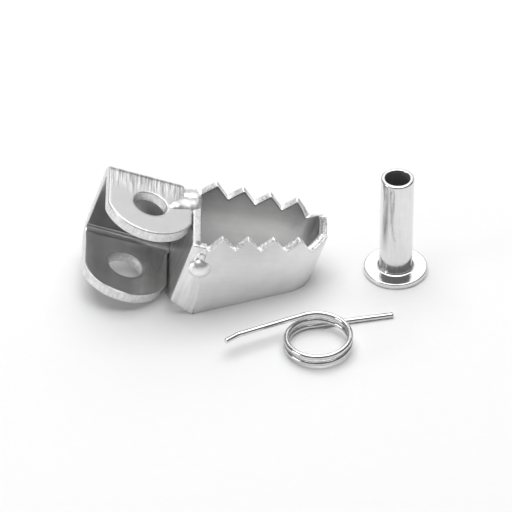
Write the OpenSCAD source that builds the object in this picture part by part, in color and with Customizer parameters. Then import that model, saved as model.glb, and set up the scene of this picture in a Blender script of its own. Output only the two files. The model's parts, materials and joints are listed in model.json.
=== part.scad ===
// Bolt-on foot peg kit: a welded, toothed peg with a clevis, its hollow pivot pin and its return spring.
// Millimetres, +Z up. The three loose pieces lie on the plane z = 0, and the origin is at the middle of
// the floor area that they cover. The peg rests on its sloping underside, so its bore axis leans.

/* [Clevis bracket] */
// Thickness of the bracket's steel sheet
sheet_t = 4; // [3.5:0.1:4.2]
// Clear gap between the two ears
ear_gap = 25.5; // [25:0.1:25.5]
// Width of the ears, across the bore
ear_w = 31.2; // [30:0.1:31.2]
// Radius of the ears' rounded ends, about the bore
ear_r = 16.3; // [16:0.1:16.6]
// Distance from the bore axis to the outer face of the web
web_reach = 20; // [19.5:0.1:20]
// Outside radius of the two bends
bend_r = 6.5; // [6:0.1:6.5]
// Diameter of the bore through both ears
bore_d = 12.5; // [12.2:0.1:12.8]
// Width of the broken edge around each end of the bore
bore_break = 0.4; // [0.3:0.1:0.5]
// Width of the notch in the end of the upper bend, which the ear weld fills
notch_w = 3.5; // [3:0.1:4]
// Height of that notch
notch_h = 5.5; // [5:0.1:6]

/* [Tread] */
// Thickness of the toothed band and of the cross plate
band_t = 3; // [2.8:0.1:3.2]
// Distance from the bore axis to the cross plate
root_x = 16.1; // [16.1:0.1:16.5]
// Distance from the bore axis to the centre of the rounded nose, along the bracket
nose_x = 53.8; // [52:0.1:55]
// Sideways offset of the nose centre towards the web side
nose_y = 7; // [6.5:0.1:7.5]
// Outside radius of the nose
nose_r = 12.6; // [12:0.1:13]
// Angle of the near wall to the bracket
near_angle = 20.9; // [20:0.1:22]
// Angle of the far wall to the bracket
far_angle = 5.9; // [5:0.1:7]
// Height of the teeth above their valleys
tooth_h = 5.3; // [4.5:0.1:5.5]
// Run of the tooth flank that faces the bracket
tooth_rise = 4.6; // [4.3:0.05:4.8]
// Run of the tooth flank that faces the nose
tooth_fall = 5.65; // [5.4:0.05:5.9]
// Width of the blunt tip of a tooth
tip_flat = 0.7; // [0.4:0.1:1]
// Teeth on each straight wall
wall_teeth = 4; // [3:1:4]
// Teeth round the nose
nose_teeth = 2; // [2:1:3]
// Distance from the nose centre back to the last valley of the near wall; past the centre it is positive
near_last = 2.35; // [2:0.05:3]
// Distance from the nose centre to the last valley of the far wall
far_last = 6.9; // [6:0.1:7.5]

/* [Underside] */
// Slope of the underside, and the lean of the peg when it lies on a flat surface
lean = 18.5; // [17:0.1:20]
// Depth of the underside below the top of the upper ear, on the bore axis
under_depth = 38.9; // [38.9:0.1:40]

/* [Cross plate] */
// Outer face of the side tab, from the bore axis
tab_y = 17.4; // [17:0.1:17.6]
// Place of the seam between the side tab and the near wall, at the rim
seam_x = 21.3; // [21:0.1:21.6]
// Slant of that seam
seam_slant = 8.8; // [8:0.1:10]
// Depth of the lower near corner, below the rim, where the corner is cut away
corner_depth = 26.6; // [26:0.1:28]
// Slope of that cut across the cross plate
corner_slope = 20.5; // [19:0.5:22]
// Slope of that cut along the near wall
corner_fall = 21.2; // [20:0.1:23]

/* [Pivot pin] */
// Outside diameter of the pin
pin_d = 12; // [11.8:0.1:12]
// Diameter of the hole through the pin
pin_hole_d = 9; // [8.5:0.1:9.4]
// Overall length of the pin
pin_len = 42; // [40:0.5:44]
// Diameter of the flange
flange_d = 23.2; // [20:0.1:24]
// Thickness of the flange
flange_t = 2.2; // [1.8:0.1:2.5]

/* [Return spring] */
// Diameter of the spring wire
wire_d = 2; // [1.8:0.1:2.1]
// Mean diameter of the coil
coil_d = 22.8; // [21:0.1:24]
// Rise of the coil in each turn
coil_pitch = 2.75; // [2.5:0.05:3]
// Whole turns of the coil before the legs spread
coil_turns = 2; // [2:1:3]
// Angle of the lower leg to the X axis
lower_leg_angle = 11.9; // [5:0.1:20]
// Length of the lower leg, from the coil to its cut end
lower_leg_len = 30; // [20:0.5:35]
// Angle of the upper leg to the X axis
upper_leg_angle = 24.9; // [18:0.1:35]
// Length of the upper leg, from the coil to its bend
upper_leg_len = 25.2; // [18:0.1:28]
// Length of the bent tip of the upper leg
tip_len = 5; // [4:0.1:8]
// Angle of the bend in the upper leg
tip_bend = 15; // [5:1:30]
// Radius of that bend, at the middle of the wire
tip_bend_r = 6; // [4:0.5:8]

/* [Layout] */
// Place of the peg's bore axis, at the top of the upper ear, along X
peg_x = -37.2; // [-37.4:0.1:-37]
// Place of the peg's bore axis along Y
peg_y = 14.2; // [14:0.1:14.4]
// Place of the pin along X
pin_x = 51; // [51:0.1:52]
// Place of the pin along Y
pin_y = 22.6; // [22:0.1:23]
// Place of the coil's axis along X
spring_x = 22.5; // [22:0.1:23]
// Place of the coil's axis along Y
spring_y = -21.9; // [-22:0.1:-21]

/* [Hidden] */
$fn = 96;

steel = [0.78, 0.78, 0.77];
dark_steel = [0.62, 0.62, 0.62];
bright = [0.88, 0.88, 0.87];
weld_metal = [0.84, 0.82, 0.78];

// Sizes that follow from the driving ones
bracket_h = ear_gap + 2 * sheet_t;
inner_bend_r = bend_r - sheet_t;
ear_half = ear_w / 2;
peg_z = under_depth * cos(lean);
rim_top = tooth_h - tip_flat * tooth_h / (tooth_rise + tooth_fall);
tooth_pitch = tooth_rise + tooth_fall;
mid_r = nose_r - band_t / 2;
tread_h = under_depth + rim_top;
nose_proud = 0.01;
far = 120;

// The last valley of each wall lies just round the nose, and the nose teeth share the arc between them
near_last_angle = near_angle - 90 + near_last / mid_r * 180 / PI;
far_last_angle = far_angle + 90 - far_last / mid_r * 180 / PI;
nose_step = (far_last_angle - near_last_angle) / nose_teeth;
nose_half_run = nose_step / 2 * PI / 180 * mid_r;

// Weld beads on the peg, from the bore axis: the ends and radii of each run, and the drops at the seam
bead_sink = 1.6;
bead_from = [9.2, 2.6];
bead_to = [16.2, 7.2];
bead_r = 3.6;
rim_bead_from = [16.4, 11];
rim_bead_to = [16.5, 13.2];
rim_bead_r = 2.6;
notch_sink = 0.8;
web_bead_at = [root_x + 0.6, web_reach - 3.4];
web_bead_r = 2.9;
web_bead_foot = 4;
web_bead_h = 22.5;
seam_drop_at = [21.3, -15, -9];
seam_drop_r = 4.4;
rim_drop_at = [20.4, -16.9, -3.4];
rim_drop_r = 1.5;

// Pieces of the peg are drawn with the bore axis along Z and the top of the upper ear at z = 0, then
// leaned over until the sloping underside lies on the floor.
module peg_pose() {
    translate([peg_x, peg_y, peg_z]) rotate([0, lean, 0]) children();
}

// Everything at negative x, everything at negative y and everything at negative z
module minus_x() {
    translate([-far, -far, -far]) cube([far, 2 * far, 2 * far]);
}

module minus_y() {
    translate([-far, -far, -far]) cube([2 * far, far, 2 * far]);
}

module minus_z() {
    translate([-far, -far, -far]) cube([2 * far, 2 * far, far]);
}

// Everything below the sloping underside
module below_underside() {
    translate([0, 0, -under_depth]) rotate([0, -lean, 0]) minus_z();
}

// The cut that takes off the lower near corner of the tread's root
module below_corner() {
    translate([root_x, -tab_y, -corner_depth]) rotate([-corner_slope, corner_fall, 0]) minus_z();
}

// Everything on the near side that lies on the bracket's side of the slanting seam
module before_seam() {
    translate([seam_x, -far, 0]) rotate([0, -seam_slant, 0]) minus_x();
}

// Places its children in the frame of a wall: x along the wall from the nose centre, y across it
module on_wall(wall_angle) {
    translate([nose_x, nose_y, 0]) rotate([0, 0, wall_angle]) children();
}

// Everything beyond the inner face of the far wall
module beyond_far_wall() {
    on_wall(far_angle) translate([-far, nose_r - band_t, -far]) cube([2 * far, far, 2 * far]);
}

// Everything on the tread's side of the outer face of the far wall
module inside_far_wall() {
    on_wall(far_angle) translate([0, nose_r, 0]) minus_y();
}

// Everything on the tread's side of the outer face of the near wall
module inside_near_wall() {
    difference() {
        on_wall(near_angle) translate([-far, -nose_r, -far]) cube([2 * far, far, 2 * far]);
        before_seam();
    }
}

/* ---- clevis bracket ---- */

// One corner-rounded block seen from the end of the bracket: y to the right, z up
module end_profile(reach, top, bottom, r) {
    translate([-far, bottom]) square([far + reach - r, top - bottom]);
    translate([-far, bottom + r]) square([far + reach, top - bottom - 2 * r]);
    for (z = [bottom + r, top - r]) translate([reach - r, z]) circle(r);
}

// Outline of an ear from above, with the tongue of the web that reaches the cross plate
module ear_outline() {
    intersection() {
        circle(ear_r);
        translate([-ear_half, -ear_r]) square([ear_w, ear_r]);
    }
    translate([-ear_half, 0]) square([ear_w, web_reach]);
    translate([0, web_reach - bend_r]) square([root_x, bend_r]);
}

module bore_cut() {
    translate([0, 0, -bracket_h - 1]) cylinder(d = bore_d, h = bracket_h + 2);
    for (z = [0, -sheet_t, -sheet_t - ear_gap, -bracket_h])
        translate([0, 0, z - bore_break]) {
            is_top = z == 0 || z == -sheet_t - ear_gap;
            r1 = bore_d / 2 + (is_top ? 0 : 2 * bore_break);
            r2 = bore_d / 2 + (is_top ? 2 * bore_break : 0);
            cylinder(r1 = r1, r2 = r2, h = 2 * bore_break);
        }
}

// The notch in the end of the upper bend, beside the cross plate
module bend_notch(extra) {
    translate([root_x - notch_w, web_reach - bend_r - sheet_t, -notch_h])
        cube([notch_w + extra, bend_r + sheet_t + 1, notch_h + extra]);
}

module clevis_bracket() {
    color(steel) peg_pose() difference() {
        intersection() {
            translate([-ear_half, 0, 0]) rotate([90, 0, 90]) linear_extrude(ear_half + root_x)
                difference() {
                    end_profile(web_reach, 0, -bracket_h, bend_r);
                    end_profile(web_reach - sheet_t, -sheet_t, -sheet_t - ear_gap, inner_bend_r);
                }
            translate([0, 0, -bracket_h - 1]) linear_extrude(bracket_h + 2) ear_outline();
        }
        bore_cut();
        bend_notch(1);
    }
}

/* ---- tread ---- */

// Solid block with the tread's plan, its walls at a distance from the nose centre, and longer than the
// tread at both ends by a given amount. The round nose stands a hair proud of the walls, so that the
// surfaces cross cleanly.
module tread_block(reach, extra) {
    run = nose_x - root_x + nose_r;
    h = tread_h + 2 * extra;
    nose = [nose_x, nose_y];
    translate([0, 0, -under_depth - extra]) {
        translate(nose) cylinder(r = reach + nose_proud, h = h);
        on_wall(near_angle) translate([-run, -reach, 0]) cube([run, reach + band_t, h]);
        on_wall(far_angle) translate([-run, -band_t, 0]) cube([run, reach + band_t, h]);
        linear_extrude(h) polygon([
            nose,
            nose - run * [cos(near_angle), sin(near_angle)],
            nose - run * [cos(far_angle), sin(far_angle)]
        ]);
    }
}

// A valley between two teeth: a V with its point at the origin, cut through the band along Y
module valley(run_back, run_forward) {
    k = 1.3;
    translate([0, 2 * band_t, 0]) rotate([90, 0, 0]) linear_extrude(4 * band_t)
        polygon([[0, 0], [run_forward * k, tooth_h * k], [-run_back * k, tooth_h * k]]);
}

// One valley in a wall, and one valley in the nose
module wall_valley(wall_angle, side, along) {
    on_wall(wall_angle) translate([along, side * mid_r, 0]) valley(tooth_fall, tooth_rise);
}

module nose_valley(angle, run_near, run_far) {
    on_wall(angle + 90) translate([0, -mid_r, 0]) valley(run_near, run_far);
}

module tread_valleys() {
    for (i = [1 : wall_teeth]) {
        wall_valley(near_angle, -1, near_last - i * tooth_pitch);
        wall_valley(far_angle, 1, far_last - i * tooth_pitch);
    }
    nose_valley(near_last_angle, tooth_fall, nose_half_run);
    nose_valley(far_last_angle, nose_half_run, tooth_fall);
    for (i = [1 : nose_teeth - 1])
        nose_valley(near_last_angle + i * nose_step, nose_half_run, nose_half_run);
}

// The plain rim behind the first tooth of a wall
module rim_cut(wall_angle, side, last) {
    back = last - wall_teeth * tooth_pitch - far;
    on_wall(wall_angle) translate([back, (side - 1) / 2 * far, 0]) cube(far);
}

module tread_band() {
    color(steel) peg_pose() difference() {
        tread_block(nose_r, 0);
        tread_block(nose_r - band_t, 1);
        translate([root_x, 0, 0]) minus_x();
        before_seam();
        tread_valleys();
        rim_cut(far_angle, 1, far_last);
        rim_cut(near_angle, -1, near_last);
        below_underside();
        below_corner();
    }
}

/* ---- cross plate ---- */

// The plate closes the root of the tread, and its folded side tab meets the near wall at the seam
module cross_plate() {
    color(dark_steel) peg_pose() difference() {
        union() {
            translate([root_x, -tab_y, -under_depth]) cube([band_t, tab_y + nose_y + nose_r, under_depth]);
            intersection() {
                translate([root_x, -tab_y, -under_depth]) cube([far, band_t, under_depth]);
                before_seam();
            }
        }
        beyond_far_wall();
        below_underside();
        below_corner();
    }
}

/* ---- weld beads ---- */

// A row of drops of weld metal between two points
module bead(from, to, r, count) {
    for (i = [0 : count - 1])
        translate(from + (to - from) * i / (count - 1)) sphere(r);
}

// Bead from the top of the upper ear, over the cross plate, to the far wall. It also fills the notch at
// the end of the upper bend.
module ear_weld() {
    color(weld_metal) peg_pose() {
        difference() {
            translate([0, 0, -bead_sink]) {
                bead(bead_from, bead_to, bead_r, 4);
                bead(rim_bead_from, rim_bead_to, rim_bead_r, 2);
            }
            minus_z();
        }
        intersection() {
            bend_notch(0);
            rotate([90, 0, 90]) linear_extrude(root_x)
                end_profile(web_reach - notch_sink, -notch_sink, -bracket_h, bend_r);
        }
    }
}

// Upright bead on the far side, between the end of the web and the far wall
module web_weld() {
    color(weld_metal) peg_pose() difference() {
        translate(web_bead_at) translate([0, 0, web_bead_foot - bracket_h])
            cylinder(r = web_bead_r, h = web_bead_h);
        translate([root_x, 0, 0]) minus_x();
        inside_far_wall();
        below_underside();
    }
}

// Drops at the top of the seam between the side tab and the near wall
module corner_weld() {
    color(weld_metal) peg_pose() difference() {
        union() {
            translate(seam_drop_at) sphere(seam_drop_r);
            translate(rim_drop_at) sphere(rim_drop_r);
        }
        translate([-far, -tab_y, -far]) cube(2 * far);
        inside_near_wall();
    }
}

/* ---- pivot pin ---- */

// Half section of the pin, from its axis outwards, with a fillet under the flange
module pin_section() {
    wall = (pin_d - pin_hole_d) / 2;
    fillet = 0.8;
    edge = 0.35;
    translate([pin_hole_d / 2, 0]) square([wall, pin_len - edge]);
    translate([pin_hole_d / 2 + edge, 0]) square([wall - 2 * edge, pin_len]);
    translate([pin_hole_d / 2, edge]) square([(flange_d - pin_hole_d) / 2, flange_t - 2 * edge]);
    translate([pin_hole_d / 2, 0]) square([(flange_d - pin_hole_d) / 2 - edge, flange_t]);
    difference() {
        translate([pin_d / 2, flange_t]) square(fillet);
        translate([pin_d / 2 + fillet, flange_t + fillet]) circle(fillet);
    }
    for (x = [pin_hole_d / 2 + edge, pin_d / 2 - edge]) translate([x, pin_len - edge]) circle(edge);
    for (y = [edge, flange_t - edge]) translate([flange_d / 2 - edge, y]) circle(edge);
}

module pivot_pin() {
    color(bright) translate([pin_x, pin_y, 0]) rotate_extrude() pin_section();
}

/* ---- return spring ---- */

// Angles round the coil, from +X, at which the two legs leave it along its tangent
lower_angle = 90 + lower_leg_angle;
upper_angle = 90 + 360 * coil_turns + upper_leg_angle;
coil_top = wire_d / 2 + coil_pitch * (upper_angle - lower_angle) / 360;
wire_sides = 16;
coil_steps = 42 * coil_turns;
bend_steps = 6;

// Middle of the wire at an angle round the coil, with the coil's axis at the origin
function coil_point(a) =
    [coil_d / 2 * cos(a), coil_d / 2 * sin(a), wire_d / 2 + coil_pitch * (a - lower_angle) / 360];

// Middle of the wire round the bend of the upper leg, with the leg's root at the origin
function bend_point(a) =
    [tip_bend_r * (1 - cos(a)), -upper_leg_len - tip_bend_r * sin(a), 0];

// A ring of points round the middle of the wire, across a wire that heads at an angle to -Y
function wire_ring(middle, heading) = [for (j = [0 : wire_sides - 1])
    let (b = 360 * j / wire_sides, out = wire_d / 2 * cos(b))
    middle + [out * cos(heading), out * sin(heading), wire_d / 2 * sin(b)]];

// The skin of a wire, from its rings of points in order
module wire(rings) {
    last = len(rings) - 1;
    skin = [for (i = [0 : last - 1], j = [0 : wire_sides - 1])
        let (k = (j + 1) % wire_sides)
        [i * wire_sides + j, i * wire_sides + k, (i + 1) * wire_sides + k, (i + 1) * wire_sides + j]];
    start_cap = [for (j = [wire_sides - 1 : -1 : 0]) j];
    end_cap = [for (j = [0 : wire_sides - 1]) last * wire_sides + j];
    polyhedron([for (ring = rings) each ring], concat([start_cap], skin, [end_cap]));
}

// Places a leg at the coil's rim, at an angle round the coil and a height, with the leg along its -Y
module leg_pose(angle, z) {
    translate([spring_x, spring_y, z]) rotate([0, 0, angle]) translate([coil_d / 2, 0, 0]) children();
}

module spring_coil() {
    angles = [for (i = [0 : coil_steps]) lower_angle + (upper_angle - lower_angle) * i / coil_steps];
    color(bright) translate([spring_x, spring_y, 0]) wire([for (a = angles) wire_ring(coil_point(a), a)]);
}

module spring_lower_leg() {
    color(bright) leg_pose(lower_angle, wire_d / 2) rotate([90, 0, 0])
        cylinder(d = wire_d, h = lower_leg_len);
}

module spring_upper_leg() {
    bend = [for (i = [0 : bend_steps]) tip_bend * i / bend_steps];
    tip = bend_point(tip_bend) + tip_len * [sin(tip_bend), -cos(tip_bend), 0];
    color(bright) leg_pose(upper_angle, coil_top) rotate([0, 0, 180]) wire(concat(
        [wire_ring([0, 0, 0], 0)],
        [for (a = bend) wire_ring(bend_point(a), a)],
        [wire_ring(tip, tip_bend)]
    ));
}

clevis_bracket();
tread_band();
cross_plate();
ear_weld();
web_weld();
corner_weld();
pivot_pin();
spring_coil();
spring_lower_leg();
spring_upper_leg();
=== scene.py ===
"""A bolt-on foot peg kit: a welded, toothed peg with a clevis, its hollow pivot pin and its return spring."""
import json
import math

import bmesh
import bpy
import numpy as np
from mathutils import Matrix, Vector, noise


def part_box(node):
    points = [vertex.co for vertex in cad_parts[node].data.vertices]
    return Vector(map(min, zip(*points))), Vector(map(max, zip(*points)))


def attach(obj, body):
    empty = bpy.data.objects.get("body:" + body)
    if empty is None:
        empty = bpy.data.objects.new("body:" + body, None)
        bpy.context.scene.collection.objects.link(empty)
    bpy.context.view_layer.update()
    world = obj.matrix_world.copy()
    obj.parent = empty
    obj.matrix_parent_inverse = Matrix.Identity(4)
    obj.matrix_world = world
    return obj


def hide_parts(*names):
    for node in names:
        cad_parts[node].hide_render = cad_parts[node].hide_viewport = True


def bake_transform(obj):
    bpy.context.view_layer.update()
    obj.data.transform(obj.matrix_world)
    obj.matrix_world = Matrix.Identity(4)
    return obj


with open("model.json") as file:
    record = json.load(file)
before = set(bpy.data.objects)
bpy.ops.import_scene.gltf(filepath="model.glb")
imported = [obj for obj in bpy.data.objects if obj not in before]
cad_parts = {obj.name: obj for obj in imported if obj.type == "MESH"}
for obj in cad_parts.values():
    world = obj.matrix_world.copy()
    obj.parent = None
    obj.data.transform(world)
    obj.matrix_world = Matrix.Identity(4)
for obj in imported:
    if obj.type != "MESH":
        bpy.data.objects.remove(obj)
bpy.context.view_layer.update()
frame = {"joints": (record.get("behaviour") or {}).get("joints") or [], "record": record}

MM = 0.001
mounts = {m["name"]: m for m in frame["record"]["mounts"]}
joints = {j["name"]: j for j in frame["joints"]}

# ---- Sizes, in millimetres ----
bore = mounts["clevis_bore"]
BORE_R = bore["dims"]["r_mm"]
BRACKET_H = bore["dims"]["length_mm"]
SHEET_T = 4.0
BAND_T = 3.0
EAR_HALF = 15.6
EAR_R = 16.3
WEB_REACH = 20.0
BEND_R = 6.5
ROOT_X = 16.1
NOSE = np.array([53.8, 7.0])
NOSE_R = 12.6
NEAR_ANGLE = math.radians(20.9)
FAR_ANGLE = math.radians(5.9)
TOOTH_H = 5.3
TOOTH_RISE = 4.6
TOOTH_FALL = 5.65
TIP_FLAT = 0.7
WALL_TEETH = 4
NEAR_LAST = 2.35
FAR_LAST = 6.9
TAB_Y = 17.4
SEAM_X = 21.3
SEAM_SLOPE = math.tan(math.radians(8.8))
CORNER_DEPTH = 26.6
CORNER_SLOPE = math.radians(20.5)
CORNER_FALL = math.radians(21.2)
NOTCH_W = 3.5
NOTCH_SINK = 0.9
TINY = 1e-6

# ---- The peg's own frame: x along the bracket to the nose, y to the web, z up from the upper ear ----
PEG_UP = Vector(bore["axis"]).normalized()
PEG_ALONG = Vector((PEG_UP.z, 0, -PEG_UP.x))
PEG_ORIGIN = Vector(bore["pos_m"]) + PEG_UP * BRACKET_H / 2 * MM
LEAN = math.atan2(PEG_UP.x, PEG_UP.z)
UNDER_DEPTH = PEG_ORIGIN.z / MM / math.cos(LEAN)


def peg_to_world(points):
    p = np.asarray(points, float) * MM
    return (
        np.array(PEG_ORIGIN)
        + p[:, :1] * np.array(PEG_ALONG)
        + p[:, 1:2] * np.array([0, 1, 0])
        + p[:, 2:] * np.array(PEG_UP)
    )


def flat_to_world(points):
    return np.asarray(points, float) * MM


def rough(p, scale, seed=0.0):
    """Smooth noise, from -1 to 1, at a point in millimetres."""
    return noise.noise(Vector((p[0] / scale + seed, p[1] / scale - seed, p[2] / scale + 2 * seed)))


# ---- Materials ----
TINT = (1.0, 1.0, 0.995)
CLOUD_RANGE = (0.3, 0.7)
LINE_RANGE = (0.38, 0.62)
CLOUD_DETAIL = 3.0
GRAIN_DETAIL = 4.0
LINE_DETAIL = 5.0
FADE_WAVE = (6, 60, 60)
STREAK_LOW = 22
STREAK_HIGH = 29
STREAK_REST = 0.15
LEAST_GLOSS = 0.02


def ramp(nodes, low, high, a, b):
    """A linear map from a..b to low..high."""
    node = nodes.new("ShaderNodeMapRange")
    node.inputs["From Min"].default_value = a
    node.inputs["From Max"].default_value = b
    node.inputs["To Min"].default_value = low
    node.inputs["To Max"].default_value = high
    return node


def texture(nodes, links, coords, stretch, turn, detail):
    """Noise in the peg's own frame, with a feature size in millimetres along each axis."""
    mapping = nodes.new("ShaderNodeMapping")
    mapping.vector_type = "TEXTURE"
    mapping.inputs["Rotation"].default_value = (0, turn, 0)
    mapping.inputs["Scale"].default_value = [s * MM for s in stretch]
    links.new(coords.outputs["Object"], mapping.inputs["Vector"])
    grain = nodes.new("ShaderNodeTexNoise")
    grain.inputs["Scale"].default_value = 1.0
    grain.inputs["Detail"].default_value = detail
    links.new(mapping.outputs["Vector"], grain.inputs["Vector"])
    return grain


def steel(name, tone, gloss, mottle=0.05, cloud_size=5.0, streak=None, streak_tone=0.0, streak_bump=0.0,
          fade=None, grain=0.4, grain_bump=0.05, spread=0.06, turn=LEAN):
    """Plated steel. tone is its reflectance and gloss its roughness. Streaks are drawn or rolled lines with
    a feature size along each axis. With fade they come in between two places along Y, and they are faint
    below a height. Grain is the fine texture of the plating. All lengths are in millimetres."""
    mat = bpy.data.materials.new(name)
    mat.use_nodes = True
    nodes, links = mat.node_tree.nodes, mat.node_tree.links
    shader = nodes["Principled BSDF"]
    shader.inputs["Metallic"].default_value = 1.0
    coords = nodes.new("ShaderNodeTexCoord")
    cloud = texture(nodes, links, coords, (cloud_size,) * 3, turn, CLOUD_DETAIL)
    fine = texture(nodes, links, coords, (grain,) * 3, turn, GRAIN_DETAIL)
    shade = ramp(nodes, 1 - mottle, 1 + mottle, *CLOUD_RANGE)
    links.new(cloud.outputs["Fac"], shade.inputs["Value"])
    value = shade.outputs["Result"]
    if streak:
        lines = texture(nodes, links, coords, streak, turn, LINE_DETAIL)
        sharp = ramp(nodes, -1.0, 1.0, *LINE_RANGE)
        links.new(lines.outputs["Fac"], sharp.inputs["Value"])
        marks = sharp.outputs["Result"]
        if fade:
            apart = nodes.new("ShaderNodeSeparateXYZ")
            links.new(coords.outputs["Object"], apart.inputs["Vector"])
            wave = texture(nodes, links, coords, FADE_WAVE, turn, CLOUD_DETAIL)
            start, shift = fade[0] * MM, (fade[1] - fade[0]) * MM
            edge = nodes.new("ShaderNodeMath")
            edge.operation = "MULTIPLY_ADD"
            edge.inputs[1].default_value = shift * 2
            links.new(wave.outputs["Fac"], edge.inputs[0])
            links.new(apart.outputs["Y"], edge.inputs[2])
            mask = ramp(nodes, 0.0, 1.0, start + shift, start + 2 * shift)
            links.new(edge.outputs["Value"], mask.inputs["Value"])
            low = ramp(nodes, STREAK_REST, 1.0, STREAK_LOW * MM, STREAK_HIGH * MM)
            links.new(apart.outputs["Z"], low.inputs["Value"])
            held = nodes.new("ShaderNodeMath")
            held.operation = "MULTIPLY"
            links.new(mask.outputs["Result"], held.inputs[0])
            links.new(low.outputs["Result"], held.inputs[1])
            masked = nodes.new("ShaderNodeMath")
            masked.operation = "MULTIPLY"
            links.new(marks, masked.inputs[0])
            links.new(held.outputs["Value"], masked.inputs[1])
            marks = masked.outputs["Value"]
        scaled = nodes.new("ShaderNodeMath")
        scaled.operation = "MULTIPLY_ADD"
        scaled.inputs[1].default_value = streak_tone
        scaled.inputs[2].default_value = 1.0
        links.new(marks, scaled.inputs[0])
        both = nodes.new("ShaderNodeMath")
        both.operation = "MULTIPLY"
        links.new(value, both.inputs[0])
        links.new(scaled.outputs["Value"], both.inputs[1])
        value = both.outputs["Value"]
    colour = nodes.new("ShaderNodeVectorMath")
    colour.operation = "SCALE"
    colour.inputs[0].default_value = [tone * c for c in TINT]
    links.new(value, colour.inputs["Scale"])
    links.new(colour.outputs["Vector"], shader.inputs["Base Color"])
    dull = ramp(nodes, max(gloss - spread, LEAST_GLOSS), gloss + spread, *CLOUD_RANGE)
    links.new(fine.outputs["Fac"], dull.inputs["Value"])
    links.new(dull.outputs["Result"], shader.inputs["Roughness"])
    bump = nodes.new("ShaderNodeBump")
    bump.inputs["Strength"].default_value = 1.0
    bump.inputs["Distance"].default_value = grain_bump * MM
    links.new(fine.outputs["Fac"], bump.inputs["Height"])
    if streak and streak_bump:
        groove = nodes.new("ShaderNodeBump")
        groove.inputs["Strength"].default_value = 1.0
        groove.inputs["Distance"].default_value = streak_bump * MM
        links.new(marks, groove.inputs["Height"])
        links.new(bump.outputs["Normal"], groove.inputs["Normal"])
        bump = groove
    links.new(bump.outputs["Normal"], shader.inputs["Normal"])
    return mat


BORE_Y = PEG_ORIGIN.y / MM
# Inner faces of the bracket: the same plated steel as bracket_outside, with a lower tone that is painted
# shade inside the clevis.
M_SHEET_PAINTED_SHADE = steel("bracket_inside_painted_shade", 0.60, 0.22, mottle=0.05, grain=0.6, grain_bump=0.001, spread=0.01,
                streak=(2.5, 30, 30), streak_tone=0.05)
M_BEND = steel("bracket_outside", 0.70, 0.26, mottle=0.025, streak=(0.75, 15, 10), streak_tone=0.34,
               streak_bump=0.03, fade=(BORE_Y + 4, BORE_Y + 10), grain=0.6, grain_bump=0.001, spread=0.01)
M_CUT = steel("cut_edge", 0.76, 0.36, mottle=0.12, cloud_size=1.2, streak=(0.6, 0.6, 4.0), streak_tone=0.05,
              streak_bump=0.012, grain=0.3, grain_bump=0.02)
M_TREAD = steel("tread_outside", 0.80, 0.31, mottle=0.03, streak=(9, 9, 0.8), streak_tone=0.015,
                grain=0.6, grain_bump=0.001, spread=0.01)
# Inner faces of the tread: the same sheet as tread_outside, with a lower tone that is painted shade inside
# the well.
M_WELL_PAINTED_SHADE = steel("tread_inside_painted_shade", 0.60, 0.25, mottle=0.04, streak=(9, 9, 1.2), streak_tone=0.02,
               grain=0.6, grain_bump=0.001, spread=0.01)
M_SHEAR = steel("tread_shear", 0.88, 0.36, mottle=0.42, cloud_size=0.8, grain=0.3, grain_bump=0.16,
                spread=0.1)
M_PLATE = steel("plate_sheet", 0.80, 0.30, mottle=0.04, streak=(1.5, 1.5, 14), streak_tone=0.10,
                grain=0.6, grain_bump=0.001, spread=0.01)
M_WELD = steel("weld_bead", 0.95, 0.40, mottle=0.07, cloud_size=1.6, grain=0.9, grain_bump=0.008, spread=0.06)
M_PIN = steel("pin_plating", 0.76, 0.16, mottle=0.03, cloud_size=3.0, streak=(0.5, 0.5, 12), streak_tone=0.03,
              streak_bump=0.004, grain=0.5, grain_bump=0.003, spread=0.04, turn=0.0)
M_BORE = steel("pin_bore", 0.50, 0.50, mottle=0.05, grain=0.5, grain_bump=0.02, turn=0.0)
M_WIRE = steel("wire_plating", 0.68, 0.13, mottle=0.10, cloud_size=1.5, grain=0.4, grain_bump=0.003,
               spread=0.04, turn=0.0)


# ---- Mesh helpers ----
WELD_DIST = 1e-6


def piece(name, points, faces, mats, face_mats, body, replaces, place, sharp=40):
    """A mesh that rides a body and takes the place of CAD nodes. place turns its points into metres."""
    mesh = bpy.data.meshes.new(name)
    mesh.from_pydata([tuple(p) for p in place(points)], [], faces)
    for m in mats:
        mesh.materials.append(m)
    if face_mats is not None:
        mesh.polygons.foreach_set("material_index", face_mats)
    bm = bmesh.new()
    bm.from_mesh(mesh)
    bmesh.ops.remove_doubles(bm, verts=bm.verts, dist=WELD_DIST)
    bmesh.ops.recalc_face_normals(bm, faces=bm.faces)
    bm.to_mesh(mesh)
    bm.free()
    mesh.shade_smooth()
    mesh.set_sharp_from_angle(angle=math.radians(sharp))
    obj = bpy.data.objects.new(name, mesh)
    bpy.context.scene.collection.objects.link(obj)
    if body:
        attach(obj, body)
    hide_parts(*replaces)
    return obj


def tube(rings, ring_mats, closed=False):
    """Faces and their materials for rings of points. The ends are capped unless the last ring meets the
    first."""
    n, k = rings.shape[:2]
    faces, mats = [], []
    for i in range(n if closed else n - 1):
        a, b = i * k, (i + 1) % n * k
        for j in range(k):
            faces.append((a + j, a + (j + 1) % k, b + (j + 1) % k, b + j))
            mats.append(ring_mats[j])
    if not closed:
        faces.append(tuple(range(k - 1, -1, -1)))
        faces.append(tuple((n - 1) * k + j for j in range(k)))
        mats += [ring_mats[0], ring_mats[0]]
    return faces, mats


LONGEST_CUT = 0.45


def rounded(points, cut):
    """A polyline with each inner corner replaced by a small curve."""
    points = [np.array(p, float) for p in points]
    out = [points[0]]
    for a, v, b in zip(points, points[1:], points[2:]):
        la, lb = np.linalg.norm(a - v), np.linalg.norm(b - v)
        c = min(cut, LONGEST_CUT * la, LONGEST_CUT * lb)
        p, q = v + (a - v) / la * c, v + (b - v) / lb * c
        out += [(1 - t) ** 2 * p + 2 * t * (1 - t) * v + t * t * q for t in (0, 0.25, 0.5, 0.75, 1)]
    return np.array(out + [points[-1]])


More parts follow.
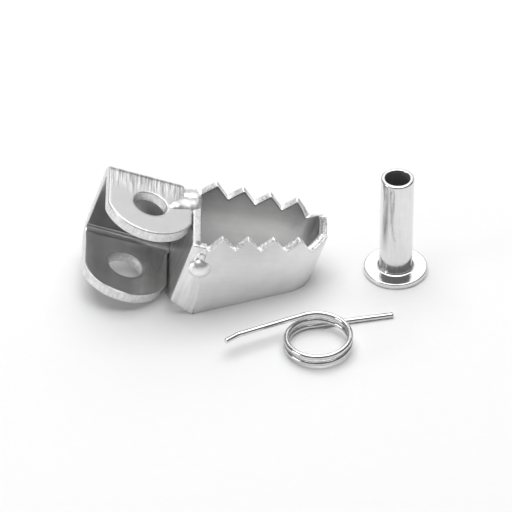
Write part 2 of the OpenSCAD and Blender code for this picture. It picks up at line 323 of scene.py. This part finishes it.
def resampled(line, step):
    """A polyline with points added so that none are further apart than a step."""
    out = [line[0]]
    for a, b in zip(line, line[1:]):
        n = max(1, math.ceil(np.linalg.norm(b - a) / step))
        out += [a + (b - a) * i / n for i in range(1, n + 1)]
    return np.array(out)


LEAST_MITRE = 0.8


def inward(line):
    """The mitred normal to the right of a polyline at each point."""
    d = np.diff(line, axis=0)
    d /= np.linalg.norm(d, axis=1)[:, None]
    n = np.stack([d[:, 1], -d[:, 0]], 1)
    both = np.vstack([n[:1], n[:-1] + n[1:], n[-1:]])
    both /= np.linalg.norm(both, axis=1)[:, None]
    cos = np.concatenate([[1], np.sum(both[1:-1] * n[1:], 1), [1]])
    return both / np.maximum(cos, LEAST_MITRE)[:, None]


def roll(r, steps=4):
    """A rounded edge as pairs of depth into the sheet and inset from the edge."""
    angles = [math.pi / 2 * i / steps for i in range(steps + 1)]
    return [(r * (1 - math.cos(a)), r * (1 - math.sin(a))) for a in angles]


def smooth_step(x, a, b):
    t = min(1.0, max(0.0, (x - a) / (b - a)))
    return t * t * (3 - 2 * t)


# ---- Tread band: a strip with sheared teeth, bent round the nose ----
MID_R = NOSE_R - BAND_T / 2
NOSE_RUN = MID_R * (math.pi + FAR_ANGLE - NEAR_ANGLE)
PITCH = TOOTH_RISE + TOOTH_FALL
NEAR_DIR = np.array([math.cos(NEAR_ANGLE), math.sin(NEAR_ANGLE)])
FAR_DIR = np.array([math.cos(FAR_ANGLE), math.sin(FAR_ANGLE)])
TOOTH_ROUND = 0.42
TOOTH_STEP = 0.5
SLANT_FROM = -12.0
SHEAR_STEPS = 20
SHEAR_GROOVE = (0.75, 0.16, 0.22)
TORN_DEPTH = 0.25


def strip_plan(s, depth):
    """Plan position of a point of the strip, at a distance along it and a depth from its outer face."""
    r = NOSE_R - depth
    if s < 0:
        return NOSE + s * NEAR_DIR + r * np.array([NEAR_DIR[1], -NEAR_DIR[0]])
    if s > NOSE_RUN:
        return NOSE - (s - NOSE_RUN) * FAR_DIR + r * np.array([-FAR_DIR[1], FAR_DIR[0]])
    a = NEAR_ANGLE - math.pi / 2 + s / MID_R
    return NOSE + r * np.array([math.cos(a), math.sin(a)])


def floor_depth(x, y):
    """Height of the underside, or of the corner cut where that is higher."""
    a, b = CORNER_SLOPE, CORNER_FALL
    cut = (math.cos(a) * math.sin(b), math.sin(a), math.cos(a) * math.cos(b))
    corner = -CORNER_DEPTH - (cut[0] * (x - ROOT_X) + cut[1] * (y + TAB_Y)) / cut[2]
    return max(x * math.tan(LEAN) - UNDER_DEPTH, corner)


def seam_s(z, depth):
    """Distance along the strip at which it meets the slanting seam."""
    x = SEAM_X - SEAM_SLOPE * z
    return (x - NOSE[0] - (NOSE_R - depth) * NEAR_DIR[1]) / NEAR_DIR[0]


def tooth_line():
    """Outline of the teeth along the strip, from the seam round the nose to the root of the far wall."""
    near = [NEAR_LAST - i * PITCH for i in range(WALL_TEETH, -1, -1)]
    far_v = [NOSE_RUN - FAR_LAST + i * PITCH for i in range(WALL_TEETH + 1)]
    middle = (near[-1] + far_v[0]) / 2
    valleys = near + [middle] + far_v
    share = TIP_FLAT / PITCH
    top = TOOTH_H * (1 - share)
    line = [(seam_s(0, 0), 0.0)]
    if near[0] > line[0][0] + 0.2:
        line.append((near[0], 0.0))
    for k, (a, b) in enumerate(zip(valleys, valleys[1:])):
        if k < WALL_TEETH:
            rise, fall = TOOTH_RISE, TOOTH_FALL
        elif k >= len(valleys) - 1 - WALL_TEETH:
            rise, fall = TOOTH_FALL, TOOTH_RISE
        else:
            rise = fall = (b - a) / 2
        line += [(a + rise * (1 - share), top), (b - fall * (1 - share), top), (b, 0.0)]
    end = NOSE_RUN + (NOSE[0] - ROOT_X - NOSE_R * FAR_DIR[1]) / FAR_DIR[0]
    line.append((end, 0.0))
    return [p for i, p in enumerate(line) if i == 0 or p[0] > line[i - 1][0] + TINY]


def slanted(s, z, depth, share):
    """A distance along the strip, moved by a share of the seam's slant at a height and depth."""
    return s + share * (seam_s(z, depth) - seam_s(0, 0))


def shear_height(s, depth):
    """How far a tooth's sheared face is sunk: a groove near the outer face, and a torn inner half."""
    at = (s, depth, 0)
    torn = smooth_step(depth, 1.0, 1.5) * (1 - smooth_step(depth, 2.5, 2.84))
    fine = 0.05 * rough(at, 0.8, 3.1) + 0.05 * rough(at, 0.4, 7.7)
    middle, width, deep = SHEAR_GROOVE
    groove = deep * math.exp(-(((depth - middle) / width) ** 2))
    return TORN_DEPTH * torn + groove + fine * (0.3 + 1.1 * torn)


def build_band():
    line = resampled(rounded(tooth_line(), TOOTH_ROUND), TOOTH_STEP)
    normal = inward(line)
    first = line[0][0]
    edge_out, edge_in, edge_low = 0.28, 0.16, 0.3
    rows = np.linspace(0, 1, 15) ** 1.3
    section = [("face", 0.0, v) for v in rows]
    section += [("low", d, h) for h, d in reversed(roll(edge_low, 2))][1:]
    section += [("low", BAND_T - d, h) for d, h in reversed(roll(edge_low, 2))]
    section += [("face", BAND_T, v) for v in rows[::-1]]
    section += [("top", BAND_T - d, h) for d, h in roll(edge_in, 2)][1:]
    span = np.linspace(BAND_T - edge_in, edge_out, SHEAR_STEPS + 1)[1:]
    section += [("top", d, 0.0) for d in span]
    section += [("top", d, h) for d, h in reversed(roll(edge_out, 3))][1:-1]
    # Index 2 puts the darker inner-face material, painted shade, on the strip's inner face.
    shear_mat = [1 if k == "top" else 2 if d == BAND_T and k == "face" else 0 for k, d, _ in section]
    rings = []
    for (s, z), n in zip(line, normal):
        share = min(1.0, max(0.0, (SLANT_FROM - s) / (SLANT_FROM - first)))
        ring = []
        for kind, depth, v in section:
            edge = edge_out if depth < BAND_T / 2 else edge_in
            if kind == "top":
                fall = v + (shear_height(s, depth) if v == 0.0 else 0.0)
                z1 = z + n[1] * fall
                s1 = slanted(s + n[0] * fall, z1, depth, share)
            else:
                sa, za = s + n[0] * edge, z + n[1] * edge
                sb = slanted(s, -CORNER_DEPTH, depth, share)
                for _ in range(2):
                    x, y = strip_plan(sb, depth)
                    zb = floor_depth(x, y)
                    sb = slanted(s, zb, depth, share)
                if kind == "face":
                    z1 = (1 - v) * za + v * (zb + edge_low)
                    s1 = slanted((1 - v) * sa + v * s, z1, depth, share)
                else:
                    s1, z1 = sb, zb + v
            x, y = strip_plan(s1, depth)
            ring.append((x, y, z1))
        rings.append(ring)
    rings = np.array(rings)
    faces, mats = tube(rings, shear_mat)
    mats[-2:] = [1, 1]
    piece("band", rings.reshape(-1, 3), faces, [M_TREAD, M_SHEAR, M_WELL_PAINTED_SHADE], mats, "peg", ["tread_band"],
          peg_to_world, sharp=50)


build_band()


# ---- Clevis bracket: a blank with two round-ended ears, folded twice ----
EAR_RUN = WEB_REACH - BEND_R
BEND_RUN = math.pi / 2 * (BEND_R - SHEET_T / 2)
WEB_RUN = BRACKET_H - 2 * BEND_R
BLANK_RUN = 2 * EAR_RUN + 2 * BEND_RUN + WEB_RUN
NOTCH_DEEPEN = 1.3
OUTER_ROLL = 0.55
INNER_ROLL = 0.15
BORE_ROLL = 0.45
EAR_RINGS = 9


def fold(x, s, depth):
    """Place of a point of the blank. s runs from the upper bore over the web to the lower bore."""
    low = s > BLANK_RUN / 2
    if low:
        s = BLANK_RUN - s
    if s <= EAR_RUN:
        y, z = s, -depth
    elif s <= EAR_RUN + BEND_RUN:
        a = (s - EAR_RUN) / BEND_RUN * math.pi / 2
        y = EAR_RUN + (BEND_R - depth) * math.sin(a)
        z = -BEND_R + (BEND_R - depth) * math.cos(a)
    else:
        y, z = WEB_REACH - depth, -BEND_R - (s - EAR_RUN - BEND_RUN)
    return (x, y, -BRACKET_H - z if low else z)


def notch_depth(x, s):
    """How far the outer face is sunk where the ear weld fills the end of the upper bend."""
    over_x = smooth_step(x, ROOT_X - NOTCH_W - 0.6, ROOT_X - NOTCH_W + 1.6)
    bend_end = EAR_RUN + BEND_RUN
    over_s = smooth_step(s, EAR_RUN - 4.5, EAR_RUN - 1)
    over_s *= 1 - smooth_step(s, EAR_RUN + BEND_RUN * 0.7, bend_end)
    return NOTCH_SINK * NOTCH_DEEPEN * over_x * over_s


def ear_outline(columns):
    """Outline of an ear in plan: along the bend line from its right end, then round the ear."""
    corner = math.asin(EAR_HALF / EAR_R)
    side_end = -EAR_R * math.cos(corner)
    line = [(x, EAR_RUN) for x in columns[::-1]]
    line += [(-EAR_HALF, y) for y in np.linspace(EAR_RUN, side_end, 16)[1:]]
    line += [(EAR_R * math.sin(a), -EAR_R * math.cos(a)) for a in np.linspace(-corner, corner, 57)[1:]]
    line += [(EAR_HALF, y) for y in np.linspace(side_end, EAR_RUN - 1.2, 16)[1:]]
    return np.array(line)


def build_bracket():
    points, faces, mats, index = [], [], [], {}

    def vertex(x, s, depth):
        key = (round(x, 4), round(s, 4), round(depth, 4))
        if key not in index:
            index[key] = len(points)
            sink = notch_depth(x, s) * (1 - depth / SHEET_T) if s < BLANK_RUN / 2 else 0.0
            points.append(fold(x, s, depth + sink))
        return index[key]

    def quad(a, b, c, d, mat):
        faces.append((a, b, c, d))
        mats.append(mat)

    columns = np.concatenate([np.linspace(-EAR_HALF, 10, 36), np.linspace(10, ROOT_X, 12)[1:]])
    outline = ear_outline(columns)
    count, bend_count = len(outline), len(columns)
    along = np.roll(outline, -1, 0) - np.roll(outline, 1, 0)
    normal = np.stack([-along[:, 1], along[:, 0]], 1)
    normal /= np.linalg.norm(normal, axis=1)[:, None]
    side = roll(OUTER_ROLL, 4)
    side += [(d, 0.0) for d in np.linspace(OUTER_ROLL, SHEET_T - INNER_ROLL, 6)[1:-1]]
    side += [(SHEET_T - d, h) for d, h in reversed(roll(INNER_ROLL, 2))]
    bore_roll = roll(BORE_ROLL, 3)
    wall = [(d, BORE_R + h) for d, h in bore_roll]
    wall += [(SHEET_T - d, BORE_R + h) for d, h in reversed(bore_roll)]

    for low in (False, True):
        def at(x, y, depth):
            return vertex(x, BLANK_RUN - y if low else y, depth)

        def inset(k, h):
            p = outline[k]
            if k == bend_count - 1:
                return (p[0] + h, p[1])
            return tuple(p) if k < bend_count else tuple(p + normal[k] * h)

        for face_depth, edge in ((0.0, side[0][1]), (SHEET_T, side[-1][1])):
            grid = []
            for k in range(count):
                a = math.atan2(outline[k][1], outline[k][0])
                start = (BORE_R + BORE_ROLL) * np.array([math.cos(a), math.sin(a)])
                end = np.array(inset(k, edge))
                grid.append([start + (end - start) * t for t in np.linspace(0, 1, EAR_RINGS)])
            for k in range(count):
                m = (k + 1) % count
                for j in range(EAR_RINGS - 1):
                    corners = (grid[k][j], grid[m][j], grid[m][j + 1], grid[k][j + 1])
                    quad(*[at(v[0], v[1], face_depth) for v in corners], 1 if face_depth == 0 else 0)
        for k in range(count):
            m = (k + 1) % count
            if k >= bend_count - 1:
                for (d0, h0), (d1, h1) in zip(side, side[1:]):
                    corners = [(*inset(k, h0), d0), (*inset(m, h0), d0),
                               (*inset(m, h1), d1), (*inset(k, h1), d1)]
                    quad(*[at(*c) for c in corners], 2)
            a = math.atan2(outline[k][1], outline[k][0])
            b = math.atan2(outline[m][1], outline[m][0])
            for (d0, r0), (d1, r1) in zip(wall, wall[1:]):
                corners = [(r0 * math.cos(a), r0 * math.sin(a), d0), (r0 * math.cos(b), r0 * math.sin(b), d0),
                           (r1 * math.cos(b), r1 * math.sin(b), d1), (r1 * math.cos(a), r1 * math.sin(a), d1)]
                quad(*[at(*c) for c in corners], 2)

    levels = list(EAR_RUN + BEND_RUN * np.linspace(0, 1, 13))
    levels += list(EAR_RUN + BEND_RUN + WEB_RUN * np.linspace(0, 1, 11))[1:]
    levels += list(BLANK_RUN - EAR_RUN - BEND_RUN * np.linspace(1, 0, 13))[1:]
    for s0, s1 in zip(levels, levels[1:]):
        for x0, x1 in zip(columns, columns[1:]):
            for depth, mat in ((0.0, 1), (SHEET_T, 0)):
                e0 = side[0][1] if depth == 0 else side[-1][1]
                a0 = x0 + e0 if x0 == columns[0] else x0
                quad(*[vertex(x, s, depth) for x, s in ((a0, s0), (x1, s0), (x1, s1), (a0, s1))], mat)
        for (d0, h0), (d1, h1) in zip(side, side[1:]):
            x0, x1 = columns[0] + h0, columns[0] + h1
            corners = ((x0, s0, d0), (x0, s1, d0), (x1, s1, d1), (x1, s0, d1))
            quad(*[vertex(*c) for c in corners], 2)
        x = columns[-1]
        depths = [0.0] + [d for d, _ in side[1:-1]] + [SHEET_T]
        for d0, d1 in zip(depths, depths[1:]):
            quad(*[vertex(x, s, d) for s, d in ((s0, d0), (s1, d0), (s1, d1), (s0, d1))], 2)
    piece("bracket", points, faces, [M_SHEET_PAINTED_SHADE, M_BEND, M_CUT], mats, "peg", ["clevis_bracket"],
          peg_to_world, sharp=50)


build_bracket()


# ---- Cross plate: a plate with a side tab folded from its near end ----
def build_plate():
    fold_r = 0.9
    low_edge = 0.25
    to_nose = NOSE[0] - ROOT_X - BAND_T
    plate_end = NOSE[1] + (NOSE_R - BAND_T) / FAR_DIR[0] - to_nose * FAR_DIR[1] / FAR_DIR[0]
    path = [((ROOT_X, y), (1, 0)) for y in np.linspace(plate_end, fold_r - TAB_Y, 40)]
    for a in np.linspace(0, math.pi / 2, 7)[1:-1]:
        out = np.array([-math.cos(a), -math.sin(a)])
        mitre = math.sqrt(2) ** math.sin(2 * a)
        path.append((np.array([ROOT_X + fold_r, fold_r - TAB_Y]) + out * fold_r, -out * mitre))
    edge_out, edge_in = 0.5, 0.3
    rows = np.linspace(0, 1, 15)
    section = [("face", 0.0, v) for v in rows]
    section += [("low", d, 0.0) for d in (low_edge, BAND_T - low_edge)]
    section += [("face", BAND_T, v) for v in rows[::-1]]
    section += [("top", BAND_T - d, h) for d, h in roll(edge_in, 3)][1:]
    section += [("top", d, 0.0) for d in np.linspace(BAND_T - edge_in, edge_out, 6)[1:]]
    section += [("top", d, h) for d, h in reversed(roll(edge_out, 4))][1:-1]
    ring_mats = [1 if k == "top" else 0 for k, _, _ in section]

    def column(place):
        ring = []
        for kind, depth, v in section:
            edge = edge_out if depth < BAND_T / 2 else edge_in
            x, y = place(depth, 0.0)
            low = floor_depth(x, y)
            if kind == "face":
                z = -edge * (1 - v) + (low + low_edge) * v
            elif kind == "low":
                z = low
            else:
                z = -v
            x, y = place(depth, z)
            if kind == "low":
                z = floor_depth(x, y)
            elif kind == "face" and v == 1:
                z = floor_depth(x, y) + low_edge
            ring.append((x, y, z))
        return ring

    rings = [column(lambda d, z, p=p, n=n: (p[0] + n[0] * d, p[1] + n[1] * d)) for p, n in path]
    for t in np.linspace(0, 1, 16):
        def on_tab(d, z, t=t):
            start = ROOT_X + fold_r + (BAND_T - fold_r) * min(1.0, d / BAND_T)
            end = SEAM_X - SEAM_SLOPE * z
            return (start + (end - start) * t, -TAB_Y + d)
        rings.append(column(on_tab))
    rings = np.array(rings)
    faces, mats = tube(rings, ring_mats)
    piece("plate", rings.reshape(-1, 3), faces, [M_PLATE, M_CUT], mats, "peg", ["cross_plate"],
          peg_to_world, sharp=50)


build_plate()


# ---- Weld beads ----
BEAD_VOXEL = 0.3
BEAD_SOFTEN = 40
PIT_FALL = 1.5
DROP_FLATTEN = 0.85


def build_bead(name, drops, replaces, lump, pits=(), seed=1.0):
    """Drops of weld metal run together. A drop is a place and its half-width along each axis, and a pit is
    a place, a radius and a depth. lump is the height of the unevenness."""
    bm = bmesh.new()
    for (x, y, z), (rx, ry, rz) in drops:
        made = bmesh.ops.create_icosphere(bm, subdivisions=4, radius=1.0)
        for v in made["verts"]:
            v.co = Vector((x + v.co.x * rx, y + v.co.y * ry, z + v.co.z * rz))
    mesh = bpy.data.meshes.new(name)
    bm.to_mesh(mesh)
    bm.free()
    obj = bpy.data.objects.new(name + "_raw", mesh)
    bpy.context.scene.collection.objects.link(obj)
    mod = obj.modifiers.new("join", "REMESH")
    mod.mode = "VOXEL"
    mod.voxel_size = BEAD_VOXEL
    soft = obj.modifiers.new("soft", "SMOOTH")
    soft.iterations = BEAD_SOFTEN
    graph = bpy.context.evaluated_depsgraph_get()
    shape = bpy.data.meshes.new_from_object(obj.evaluated_get(graph))
    bpy.data.objects.remove(obj)
    points = np.array([v.co for v in shape.vertices])
    normals = np.array([v.normal for v in shape.vertices])
    for i, p in enumerate(points):
        push = lump * (rough(p, 1.6, seed) + 0.5 * rough(p, 0.7, seed + 5))
        for at, r, depth in pits:
            away = np.linalg.norm(p - np.array(at)) / r
            push -= depth * math.exp(-away * away * PIT_FALL)
        points[i] = p + normals[i] * push
    faces = [tuple(f.vertices) for f in shape.polygons]
    piece(name, points, faces, [M_WELD], None, "peg", replaces, peg_to_world, sharp=80)


def run(a, b, ra, rb, count):
    """A row of drops from a to b, whose radius goes from ra to rb."""
    a, b = np.array(a, float), np.array(b, float)
    out = []
    for i in range(count):
        t = i / (count - 1)
        r = ra + (rb - ra) * t
        out.append((tuple(a + (b - a) * t), (r, r, r * DROP_FLATTEN)))
    return out


def build_welds():
    ear = [((8.2, 1.5, -0.5), (1.9, 1.6, 1.2)), ((10.0, 3.2, -0.9), (3.0, 2.7, 2.0)),
           ((12.0, 4.6, -1.9), (4.1, 3.9, 2.9)), ((14.0, 5.8, -2.5), (4.8, 4.7, 3.7)),
           ((16.2, 6.8, -2.8), (4.0, 5.0, 4.0)), ((14.6, 10.6, -2.7), (3.8, 3.8, 3.4)),
           ((16.8, 11.2, -2.4), (3.4, 3.8, 3.6)), ((15.2, 13.6, -3.5), (3.5, 3.2, 3.5)),
           ((17.0, 14.4, -3.0), (2.8, 2.8, 3.1)), ((15.0, 16.6, -5.6), (3.0, 2.8, 3.4)),
           ((9.4, 4.9, -0.1), (0.6, 0.55, 0.5))]
    build_bead("ear_bead", ear, ["ear_weld"], 0.025, pits=[((14.4, 9.2, 0.8), 0.9, 0.5)], seed=2.3)
    web_x, web_y, web_r = ROOT_X + 0.2, WEB_REACH - 2.2, 1.9
    web = run((web_x, web_y, 4.5 - BRACKET_H), (web_x, web_y, -9.0), web_r, web_r, 9)
    build_bead("web_bead", web, ["web_weld"], 0.12, seed=4.1)
    face = -TAB_Y
    corner = [((21.3, face + 0.3, -9.0), (4.3, 3.4, 4.3)), ((20.6, face + 0.5, -4.9), (2.3, 1.6, 2.2)),
              ((20.3, face + 0.5, -3.2), (1.4, 1.3, 1.3))]
    corner += run((22.4, face + 0.2, -12.4), (24.6, face + 0.2, -22.0), 0.5, 0.35, 9)
    pits = [((19.8, face - 0.8, -4.6), 1.0, 0.7)]
    build_bead("corner_bead", corner, ["corner_weld"], 0.03, pits=pits, seed=6.6)


build_welds()


# ---- Pivot pin ----
def build_pin():
    low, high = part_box("pivot_pin")
    shank = mounts["pin_shank"]
    centre = (shank["pos_m"][0] / MM, shank["pos_m"][1] / MM)
    shank_r = shank["dims"]["r_mm"]
    hole_r = mounts["pin_hole"]["dims"]["r_mm"]
    flange_r = (high.x - low.x) / 2 / MM
    height = high.z / MM
    flange_t = 2.2

    def arc(cx, cz, r, a, b, steps):
        angles = [math.radians(a + (b - a) * i / steps) for i in range(steps + 1)]
        return [(cx + r * math.cos(t), cz + r * math.sin(t)) for t in angles]

    rim, edge, fillet, lip = 0.75, 0.55, 1.0, 0.35
    line = [(hole_r + lip, 0.0), (flange_r - edge - 3, 0.0)]
    line += arc(flange_r - edge, edge, edge, -90, 0, 5)
    line += arc(flange_r - edge, flange_t - edge, edge, 0, 90, 5)
    line += [(flange_r - 2.5, flange_t)]
    line += arc(shank_r + fillet, flange_t + fillet, fillet, 270, 180, 6)
    line += [(shank_r, z) for z in np.linspace(flange_t + fillet, height - rim, 14)[1:-1]]
    line += arc(shank_r - rim, height - rim, rim, 0, 90, 6)
    line += arc(hole_r + lip, height - lip, lip, 90, 180, 4)
    line += [(hole_r, z) for z in np.linspace(height - lip, lip, 10)[1:-1]]
    line += arc(hole_r + lip, lip, lip, 180, 270, 4)[:-1]
    turns = 144
    rings = []
    for i in range(turns):
        a = 2 * math.pi * i / turns
        rings.append([(centre[0] + r * math.cos(a), centre[1] + r * math.sin(a), z) for r, z in line])
    rings = np.array(rings)
    inside = [1 if r <= hole_r + TINY else 0 for r, _ in line]
    faces, mats = tube(rings, inside, closed=True)
    piece("pin", rings.reshape(-1, 3), faces, [M_PIN, M_BORE], mats, "pin", ["pivot_pin"],
          flat_to_world, sharp=50)


build_pin()


# ---- Return spring: one length of wire in three pieces; the lower leg rides the spring and the upper leg the spring arm ----
COIL = np.array(joints["wind"]["pos_m"][:2]) / MM
COIL_TOP = joints["wind"]["pos_m"][2] / MM
WIRE_R = 1.0
COIL_R = 11.4
LOWER_ANGLE = math.radians(90 + 11.9)
UPPER_ANGLE = math.radians(90 + 720 + 24.9)
LOWER_RUN = 30.0
UPPER_RUN = 25.2
TIP_RUN = 5.0
TIP_BEND = math.radians(15)
TIP_BEND_R = 6.0
WIRE_SIDES = 20


def wire(path):
    """Rings round a path of (place, radius) pairs."""
    places = np.array([p for p, _ in path])
    ahead = np.gradient(places, axis=0)
    ahead /= np.linalg.norm(ahead, axis=1)[:, None]
    rings = []
    for (p, r), d in zip(path, ahead):
        out = np.array([d[1], -d[0], 0])
        out /= np.linalg.norm(out)
        up = np.cross(out, d)
        angles = [2 * math.pi * j / WIRE_SIDES for j in range(WIRE_SIDES)]
        rings.append([np.array(p) + r * (math.cos(a) * out + math.sin(a) * up) for a in angles])
    return np.array(rings)


def build_spring():
    def on_coil(a):
        z = WIRE_R + (COIL_TOP - WIRE_R) * (a - LOWER_ANGLE) / (UPPER_ANGLE - LOWER_ANGLE)
        return np.array([COIL[0] + COIL_R * math.cos(a), COIL[1] + COIL_R * math.sin(a), z])

    angles = np.linspace(LOWER_ANGLE, UPPER_ANGLE, 190)
    rings = wire([(on_coil(a), WIRE_R) for a in angles])
    faces, mats = tube(rings, [0] * rings.shape[1])
    coil = piece("coil", rings.reshape(-1, 3), faces, [M_WIRE], mats, None, ["spring_coil"],
                 flat_to_world)
    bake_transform(coil)

    def leg(name, points, body, node):
        total = resampled(np.array(points), 0.8)
        last = total[-1]
        back = (total[-2] - last) / np.linalg.norm(total[-2] - last)
        path = [(p, WIRE_R) for p in total[:-1]]
        path += [(last + back * 0.22, WIRE_R), (last + back * 0.08, WIRE_R * 0.93), (last, WIRE_R * 0.8)]
        made = wire(path)
        leg_faces, leg_mats = tube(made, [0] * made.shape[1])
        piece(name, made.reshape(-1, 3), leg_faces, [M_WIRE], leg_mats, body, [node],
              flat_to_world)

    a = on_coil(LOWER_ANGLE)
    back = np.array([math.sin(LOWER_ANGLE), -math.cos(LOWER_ANGLE), 0])
    leg("lower_leg", [a, a + back * LOWER_RUN], "spring", "spring_lower_leg")
    b = on_coil(UPPER_ANGLE)
    on = np.array([-math.sin(UPPER_ANGLE), math.cos(UPPER_ANGLE), 0])
    left = np.array([-on[1], on[0], 0])
    knee = b + on * UPPER_RUN
    bend = []
    for t in np.linspace(0, TIP_BEND, 8):
        bend.append(knee + TIP_BEND_R * (math.sin(t) * on + (1 - math.cos(t)) * left))
    heading = math.cos(TIP_BEND) * on + math.sin(TIP_BEND) * left
    leg("upper_leg", [b, *bend, bend[-1] + heading * TIP_RUN], "spring_arm", "spring_upper_leg")


build_spring()


# ---- Floor, light and camera ----
def build_floor():
    half = 6.0
    mesh = bpy.data.meshes.new("floor")
    corners = [(-half, -half, 0), (half, -half, 0), (half, half, 0), (-half, half, 0)]
    mesh.from_pydata(corners, [], [(0, 1, 2, 3)])
    mat = bpy.data.materials.new("floor_paint")
    mat.use_nodes = True
    nodes, links = mat.node_tree.nodes, mat.node_tree.links
    shader = nodes["Principled BSDF"]
    shader.inputs["Roughness"].default_value = 0.7
    shader.inputs["Specular IOR Level"].default_value = 0.2
    coords = nodes.new("ShaderNodeTexCoord")
    grain = nodes.new("ShaderNodeTexNoise")
    grain.inputs["Scale"].default_value = 300.0
    links.new(coords.outputs["Object"], grain.inputs["Vector"])
    shade = ramp(nodes, 0.90, 0.92, 0.0, 1.0)
    links.new(grain.outputs["Fac"], shade.inputs["Value"])
    links.new(shade.outputs["Result"], shader.inputs["Base Color"])
    mesh.materials.append(mat)
    floor = bpy.data.objects.new("floor", mesh)
    bpy.context.scene.collection.objects.link(floor)


build_floor()


def area_light(name, place, aim, size, power):
    light = bpy.data.lights.new(name, "AREA")
    light.shape = "RECTANGLE"
    light.size, light.size_y = size
    light.energy = power
    obj = bpy.data.objects.new(name, light)
    obj.location = place
    obj.rotation_euler = (Vector(aim) - Vector(place)).to_track_quat("-Z", "Y").to_euler()
    bpy.context.scene.collection.objects.link(obj)


BACK_Y, BACK_Z, BACK_H = 1.6, 1.15, 1.0
area_light("top_light", (0.0, 0.25, 1.5), (0, 0, 0), (1.6, 1.6), 24)
area_light("back_light", (0.0, BACK_Y, BACK_Z), (0, 0, 0), (0.8, BACK_H), 3.4)
for name, x in (("back_left", -1.05), ("back_right", 1.05)):
    area_light(name, (x, BACK_Y, BACK_Z), (0, 0, 0), (1.3, BACK_H), 3.0)
area_light("left_light", (-1.5, -0.45, 0.5), (-0.04, 0, 0), (0.8, 0.5), 5)

world = bpy.data.worlds.new("studio")
world.use_nodes = True
world.node_tree.nodes["Background"].inputs["Color"].default_value = (0.2, 0.2, 0.205, 1)
world.node_tree.nodes["Background"].inputs["Strength"].default_value = 0.9
bpy.context.scene.world = world

CAMERA_ELEVATION = math.radians(38.43)
CAMERA_DISTANCE = 1.7225
CAMERA_LENS = 332.65
aim = Vector((0.0004, 0.0306, 0.0))
back = Vector((0, -math.cos(CAMERA_ELEVATION), math.sin(CAMERA_ELEVATION)))
camera = bpy.data.objects.new("camera", bpy.data.cameras.new("camera"))
camera.data.lens = CAMERA_LENS
camera.data.clip_start = 0.05
camera.location = aim + back * CAMERA_DISTANCE
camera.rotation_euler = (-back).to_track_quat("-Z", "Y").to_euler()
bpy.context.scene.collection.objects.link(camera)
bpy.context.scene.camera = camera
bpy.context.scene.view_settings.view_transform = "Standard"
